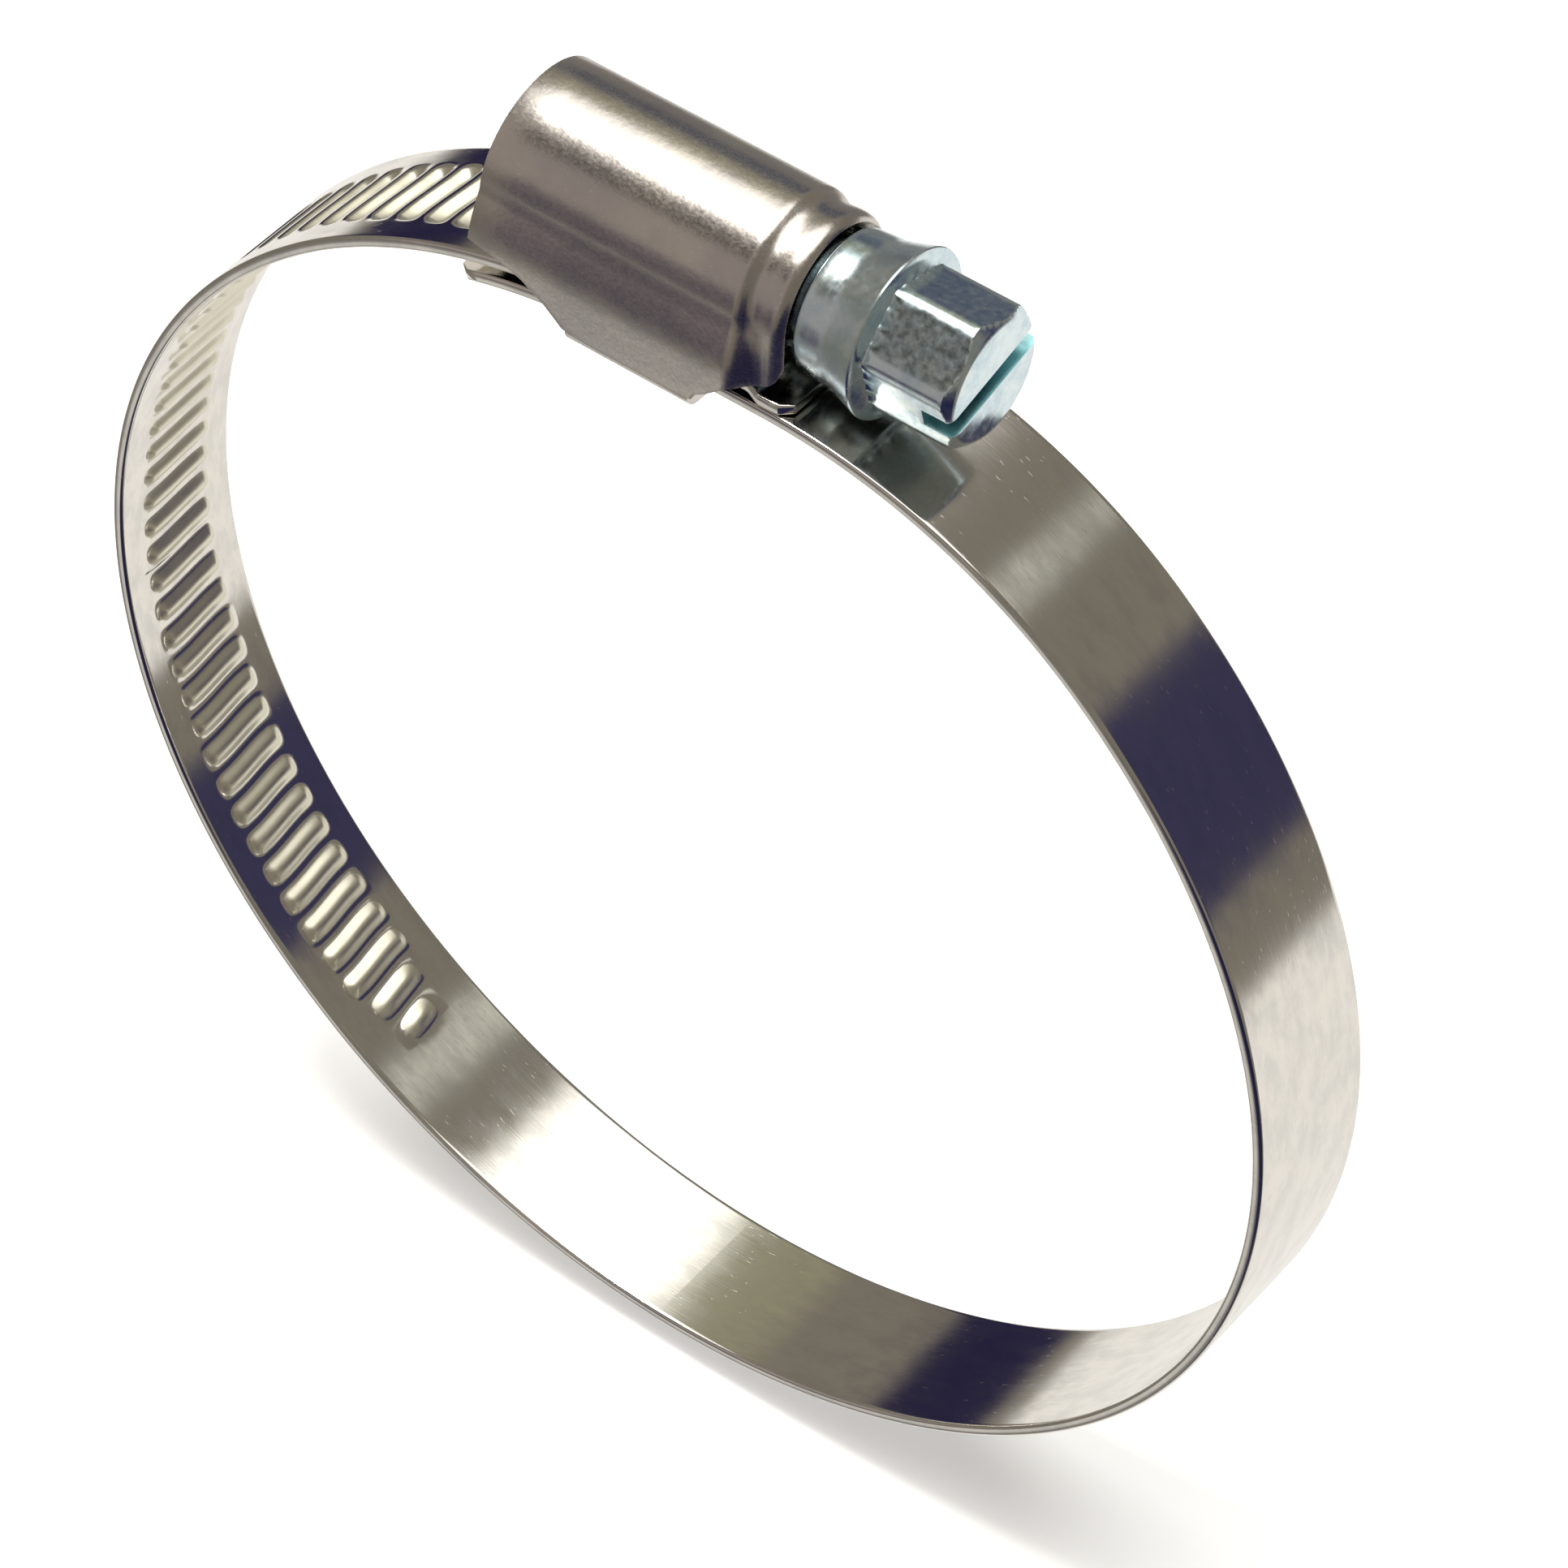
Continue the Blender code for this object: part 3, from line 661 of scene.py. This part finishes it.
# The sheet's outer face from the shoulder forward, in millimetres: x and radius of the rounded top, then
# x and half width of the side walls, which step in to the neck.
FRONT_FORM = (
    (4.25, 4.75, 4.15, 5.45), (4.42, 4.725, 4.42, 5.43), (4.58, 4.65, 4.66, 5.36), (4.74, 4.545, 4.87, 5.24),
    (4.92, 4.455, 5.06, 5.09), (5.12, 4.405, 5.25, 4.92), (5.36, 4.385, 5.46, 4.75), (5.66, 4.40, 5.71, 4.61),
    (5.98, 4.425, 6.00, 4.53), (6.28, 4.435, 6.29, 4.49), (6.54, 4.41, 6.54, 4.44), (6.76, 4.335, 6.75, 4.35),
    (6.93, 4.22, 6.91, 4.23), (7.05, 4.08, 7.02, 4.09),
)
# Lower edge of the side walls as (x, z) in millimetres; between the two halves the walls fold under the band.
REAR_EDGE = ((-11.5, 38.75), (-10.6, 38.5), (-8.5, 37.8), (-7.0, 36.9), (-6.1, 36.15), (-5.9, 35.97))
FRONT_EDGE = (
    (2.3, 35.97), (2.6, 36.45), (3.2, 36.85), (4.5, 37.95),
    (5.2, 38.15), (6.2, 38.4), (6.7, 38.8), (7.02, 39.7),
)
FLANGE = (-5.7, 2.1)


def edge_z(x):
    """Height of the walls' lower edge at x, in millimetres."""
    fold = (HOUSING_BOTTOM_Z + FOLD_RADIUS) / MM
    if FLANGE[0] <= x <= FLANGE[1]:
        return fold
    edge = REAR_EDGE + ((FLANGE[0], fold),) if x < FLANGE[0] else ((FLANGE[1], fold),) + FRONT_EDGE
    return float(np.interp(x, [p[0] for p in edge], [p[1] for p in edge]))


def housing_stations():
    """Rows like FRONT_FORM's along the whole housing, closer at the flanges' ends and at the shoulder."""
    back = HOUSING_LOW.x / MM
    marks = [back + 0.2, -9.4, -8.5, -7.7, -7.0, -6.5, -6.1, -5.9, -5.7, -4.0, -2.0, 0.0, 2.1, 2.3, 2.6]
    marks += [2.9, 3.2, 3.5, 3.85, 4.08]
    _, radius, _, half_width = FRONT_FORM[0]
    return [(x, radius, x, half_width) for x in marks] + list(FRONT_FORM)


def wall_share(angle):
    """0 on the rounded top and 1 down the wall, by the angle from straight up in degrees."""
    start, span = WALL_BLEND
    return smooth_step((angle - start) / span)


def half_section(radius, half_width, bottom):
    """One side of the sheet's section, from the top down, as (share, y, z)."""
    half = []
    for angle in range(0, 91, ARC_STEP):
        a = math.radians(angle)
        half.append((wall_share(angle), radius * math.sin(a), SCREW_Z + radius * math.cos(a)))
    for i in range(1, WALL_STEPS + 1):
        z = SCREW_Z + (bottom - SCREW_Z) * i / WALL_STEPS
        spread = min((SCREW_Z - z) / (SCREW_Z - FLARE_Z), 1.0)
        share = wall_share(90.0 + math.degrees((SCREW_Z - z) / radius))
        half.append((share, radius + (half_width - radius) * math.sin(spread * math.pi / 2.0), z))
    return half


def build_housing(steel):
    work = bmesh.new()
    rows = []
    marks = housing_stations()
    top = SCREW_Z + HOUSING_RADIUS
    for number, (top_x, radius, wall_x, half_width) in enumerate(marks):
        half = half_section(radius * MM, half_width * MM, edge_z(wall_x) * MM)
        slant = BACK_SLANT if number == 0 else 0.0
        section = [(share, -y, z) for share, y, z in reversed(half[1:])] + half
        row = []
        for share, y, z in section:
            x = (top_x + (wall_x - top_x) * share) * MM
            row.append(work.verts.new((x - slant * (top - z), y, z)))
        rows.append(row)
    for a, b in zip(rows, rows[1:]):
        for k in range(len(a) - 1):
            work.faces.new((a[k], a[k + 1], b[k + 1], b[k]))
    add_flanges(work, rows, [row[0] for row in marks])
    bmesh.ops.recalc_face_normals(work, faces=work.faces)
    highest = max(work.faces, key=lambda face: face.calc_center_median().z)
    if highest.normal.z < 0.0:
        bmesh.ops.reverse_faces(work, faces=work.faces)
    mesh = bpy.data.meshes.new("housing_shell")
    work.to_mesh(mesh)
    work.free()
    mesh.materials.append(steel)
    shell = bpy.data.objects.new("housing_shell", mesh)
    bpy.context.scene.collection.objects.link(shell)
    thick = shell.modifiers.new("sheet", "SOLIDIFY")
    thick.thickness = WALL
    thick.offset = -1.0
    thick.use_even_offset = True
    round_edges(shell, SHEET_EDGE, segments=3, least_turn=45.0)
    apply_modifiers(shell, HOUSING_SHARP)
    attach(shell, "root")
    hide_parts("housing")


def add_flanges(work, rows, marks):
    """The two flanges that fold in under the band, from the walls' lower edge to the seam."""
    held = [i for i, x in enumerate(marks) if FLANGE[0] <= x <= FLANGE[1]]
    for side, column in ((-1.0, 0), (1.0, len(rows[0]) - 1)):
        last = [rows[i][column] for i in held]
        line = []
        for k in range(1, FOLD_STEPS + 1):
            a = math.radians(90.0 * k / FOLD_STEPS)
            y = HOUSING_HALF_WIDTH - FOLD_RADIUS + FOLD_RADIUS * math.cos(a)
            line.append((y, HOUSING_BOTTOM_Z + FOLD_RADIUS - FOLD_RADIUS * math.sin(a)))
        line += [(y * MM, HOUSING_BOTTOM_Z) for y in FLANGE_YS]
        for y, z in line:
            new = [work.verts.new((marks[i] * MM, side * y, z)) for i in held]
            for k in range(len(new) - 1):
                work.faces.new((last[k], last[k + 1], new[k + 1], new[k]))
            last = new


def round_edges(obj, width, segments, least_turn):
    """A bevel on the edges that turn through more than least_turn degrees."""
    soft = obj.modifiers.new("edges", "BEVEL")
    soft.width = width
    soft.segments = segments
    soft.limit_method = "ANGLE"
    soft.angle_limit = math.radians(least_turn)


def apply_modifiers(obj, sharp):
    graph = bpy.context.evaluated_depsgraph_get()
    mesh = bpy.data.meshes.new_from_object(obj.evaluated_get(graph))
    obj.modifiers.clear()
    obj.data = mesh
    mesh.shade_smooth()
    mesh.set_sharp_from_angle(angle=math.radians(sharp))


# ---- screw ---------------------------------------------------------------------------------------


def hex_radius(angle):
    """Radius of the hexagon with its long edges slightly rounded."""
    sixth = math.pi / 3.0
    from_flat = (angle - HEX_FLAT_ANGLE + sixth / 2.0) % sixth - sixth / 2.0
    radius = HEX_HALF_FLATS / math.cos(from_flat)
    if radius < HEX_ROUND_START:
        return radius
    reach = HEX_ROUND_LIMIT - HEX_ROUND_START
    return HEX_ROUND_LIMIT - reach * math.exp((HEX_ROUND_START - radius) / reach)


def worm_radius(x, angle):
    """Radius of the right-hand thread, which runs in and out at its ends."""
    groove_x = -STRIP_FLAT_X - PITCH / 2.0
    turns = (x - groove_x) / PITCH - (angle + math.pi / 2.0) / (2.0 * math.pi)
    height = 1.0 - smooth_step((abs(turns - round(turns)) - CREST_HALF) / FLANK)
    fade = min((x - WORM_START_X) / (RUN_IN * PITCH), (WORM_END_X - x) / (RUN_OUT * PITCH), 1.0)
    return WORM_ROOT + (WORM_CREST - WORM_ROOT) * height * smooth_step(fade)


def turned_mesh(name, rings, sides, material, sharp):
    """A closed shape round the screw's axis from (x, radius function) rings."""
    points, faces = [], []
    for x, radius in rings:
        for k in range(sides):
            angle = 2.0 * math.pi * k / sides
            r = radius(x, angle)
            points.append((x, r * math.cos(angle), SCREW_Z + r * math.sin(angle)))
    for i in range(len(rings) - 1):
        for k in range(sides):
            a, b = i * sides + k, i * sides + (k + 1) % sides
            faces.append((a, b, b + sides, a + sides))
    faces.append(tuple(range(sides)))
    faces.append(tuple(range(len(points) - sides, len(points))))
    return finish_piece(name, points, faces, material, sharp=sharp)


def plain(radius):
    """A radius that is the same all round, in the form that turned_mesh takes."""
    return lambda x, angle: radius


def worm_rings():
    rings = [(SCREW_LOW.x + back * MM, plain(radius * MM)) for back, radius in PILOT]
    rings.append((WORM_START_X - WORM_STEP, plain(PILOT[-1][1] * MM)))
    count = round((WORM_END_X - WORM_START_X) / PITCH * WORM_RINGS_PER_PITCH)
    step = (WORM_END_X - WORM_START_X) / count
    rings += [(WORM_START_X + step * i, worm_radius) for i in range(count + 1)]
    rings += [(x, plain(JOURNAL_RADIUS)) for x in (WORM_END_X + WORM_STEP, COLLAR_X + JOURNAL_OVERLAP)]
    return rings


def collar_radius(x, angle):
    """The collar: nearly straight where the band's tail passes under it, then tapering out to its rim."""
    taper = COLLAR_TAPER * min((x - COLLAR_X) / (COLLAR_FLARE_X - COLLAR_X), 1.0)
    flare = max((x - COLLAR_FLARE_X) / (COLLAR_RIM_X - COLLAR_FLARE_X), 0.0) ** COLLAR_FLARE_POWER
    lip = min(max((x - COLLAR_X) / COLLAR_LIP[0], 0.0), 1.0)
    edge = COLLAR_LIP[1] * (1.0 - math.sqrt(1.0 - (1.0 - lip) ** 2))
    return COLLAR_RADIUS + taper + (COLLAR_RIM_RADIUS - COLLAR_RADIUS - COLLAR_TAPER) * flare - edge


def head_radius(x, angle):
    """The hexagon, with a round chamfer at its end and small press marks where it meets the collar."""
    cone = CHAMFER_RADIUS + (HEX_END_X - x) * CHAMFER_SLOPE
    fade = math.exp(-((x - HEX_START_X) / PRESS_MARK_LENGTH) ** 2)
    return min(hex_radius(angle), cone) + PRESS_MARK_HEIGHT * math.sin(PRESS_MARKS * angle) * fade


def head_rings():
    """Rings of the collar, the rim, the hexagon and its chamfered end, closer together at each edge."""
    rings = [(COLLAR_X + 0.01 * MM, collar_radius)]
    rings += [(COLLAR_X + s * MM, collar_radius) for s in (0.05, 0.12, 0.25, 0.6, 1.2)]
    rings += [(COLLAR_X + (1.5 + 0.25 * i) * MM, collar_radius) for i in range(8)]
    rings += [(COLLAR_RIM_X - s * MM, collar_radius) for s in (0.30, 0.1, 0.0)]
    rings += [(COLLAR_RIM_X + s * MM, plain(radius * MM)) for s, radius in RIM_FACE]
    rings += [(HEX_START_X + s * MM, head_radius) for s in (0.0, 0.1, 0.22, 0.4, 0.7, 1.2)]
    body = HEX_END_X - HEX_START_X
    rings += [(HEX_START_X + body * t, head_radius) for t in (0.4, 0.6, 0.78)]
    rings += [(HEX_END_X - s * MM, head_radius) for s in (0.9, 0.75, 0.62, 0.5, 0.4, 0.3, 0.2, 0.12, 0.06)]
    rings += [(HEX_END_X - s * MM, plain(radius * MM)) for s, radius in END_FACE]
    return rings


def slot_block(material):
    """The cutter for the screwdriver slot, which runs out through two opposite flats."""
    reach = 2.0 * HEX_HALF_FLATS
    along = Vector((0.0, math.cos(HEX_FLAT_ANGLE), math.sin(HEX_FLAT_ANGLE)))
    across = Vector((0.0, -math.sin(HEX_FLAT_ANGLE), math.cos(HEX_FLAT_ANGLE)))
    points = []
    for x in (HEX_END_X - SLOT_DEPTH, HEX_END_X + SLOT_MARGIN):
        for i, j in ((-1, -1), (1, -1), (1, 1), (-1, 1)):
            points.append(Vector((x, 0.0, SCREW_Z)) + along * i * reach + across * j * SLOT_WIDTH / 2.0)
    faces = [(0, 1, 2, 3), (4, 5, 6, 7), (0, 1, 5, 4), (1, 2, 6, 5), (2, 3, 7, 6), (3, 0, 4, 7)]
    return finish_piece("slot_block", points, faces, material)


def build_screw(zinc, slot_zinc_painted_shade):
    worm = turned_mesh("worm", worm_rings(), WORM_SIDES, zinc, WORM_SHARP)
    head = turned_mesh("screw_head", head_rings(), HEAD_SIDES, zinc, HEAD_SHARP)
    block = slot_block(slot_zinc_painted_shade)
    cut = head.modifiers.new("slot", "BOOLEAN")
    cut.operation = "DIFFERENCE"
    cut.object = block
    # The slot's faces take the cutter's darker zinc, which paints the shade in the recess.
    cut.material_mode = "TRANSFER"
    round_edges(head, HEAD_EDGE, segments=2, least_turn=60.0)
    apply_modifiers(head, HEAD_SHARP)
    bpy.data.objects.remove(block)
    for piece in (worm, head):
        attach(piece, "worm_screw")
    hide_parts("worm_screw")


def main():
    bpy.context.scene.view_settings.view_transform = "Standard"
    add_camera()
    build_world()
    build_floor()
    build_lights()
    build_band(band_steel())
    build_housing(housing_steel())
    zinc = zinc_plate("zinc_plate", (0.79, 0.90, 0.93, 1.0), (0.60, 0.74, 0.83, 1.0), 0.15)
    # Inside the slot the zinc is darker and rougher: painted shade of the recess, over the passivation's teal
    # tint.
    slot_zinc_painted_shade = zinc_plate("zinc_in_slot_painted_shade", (0.30, 0.60, 0.66, 1.0), (0.42, 0.70, 0.74, 1.0), 0.30)
    build_screw(zinc, slot_zinc_painted_shade)


main()
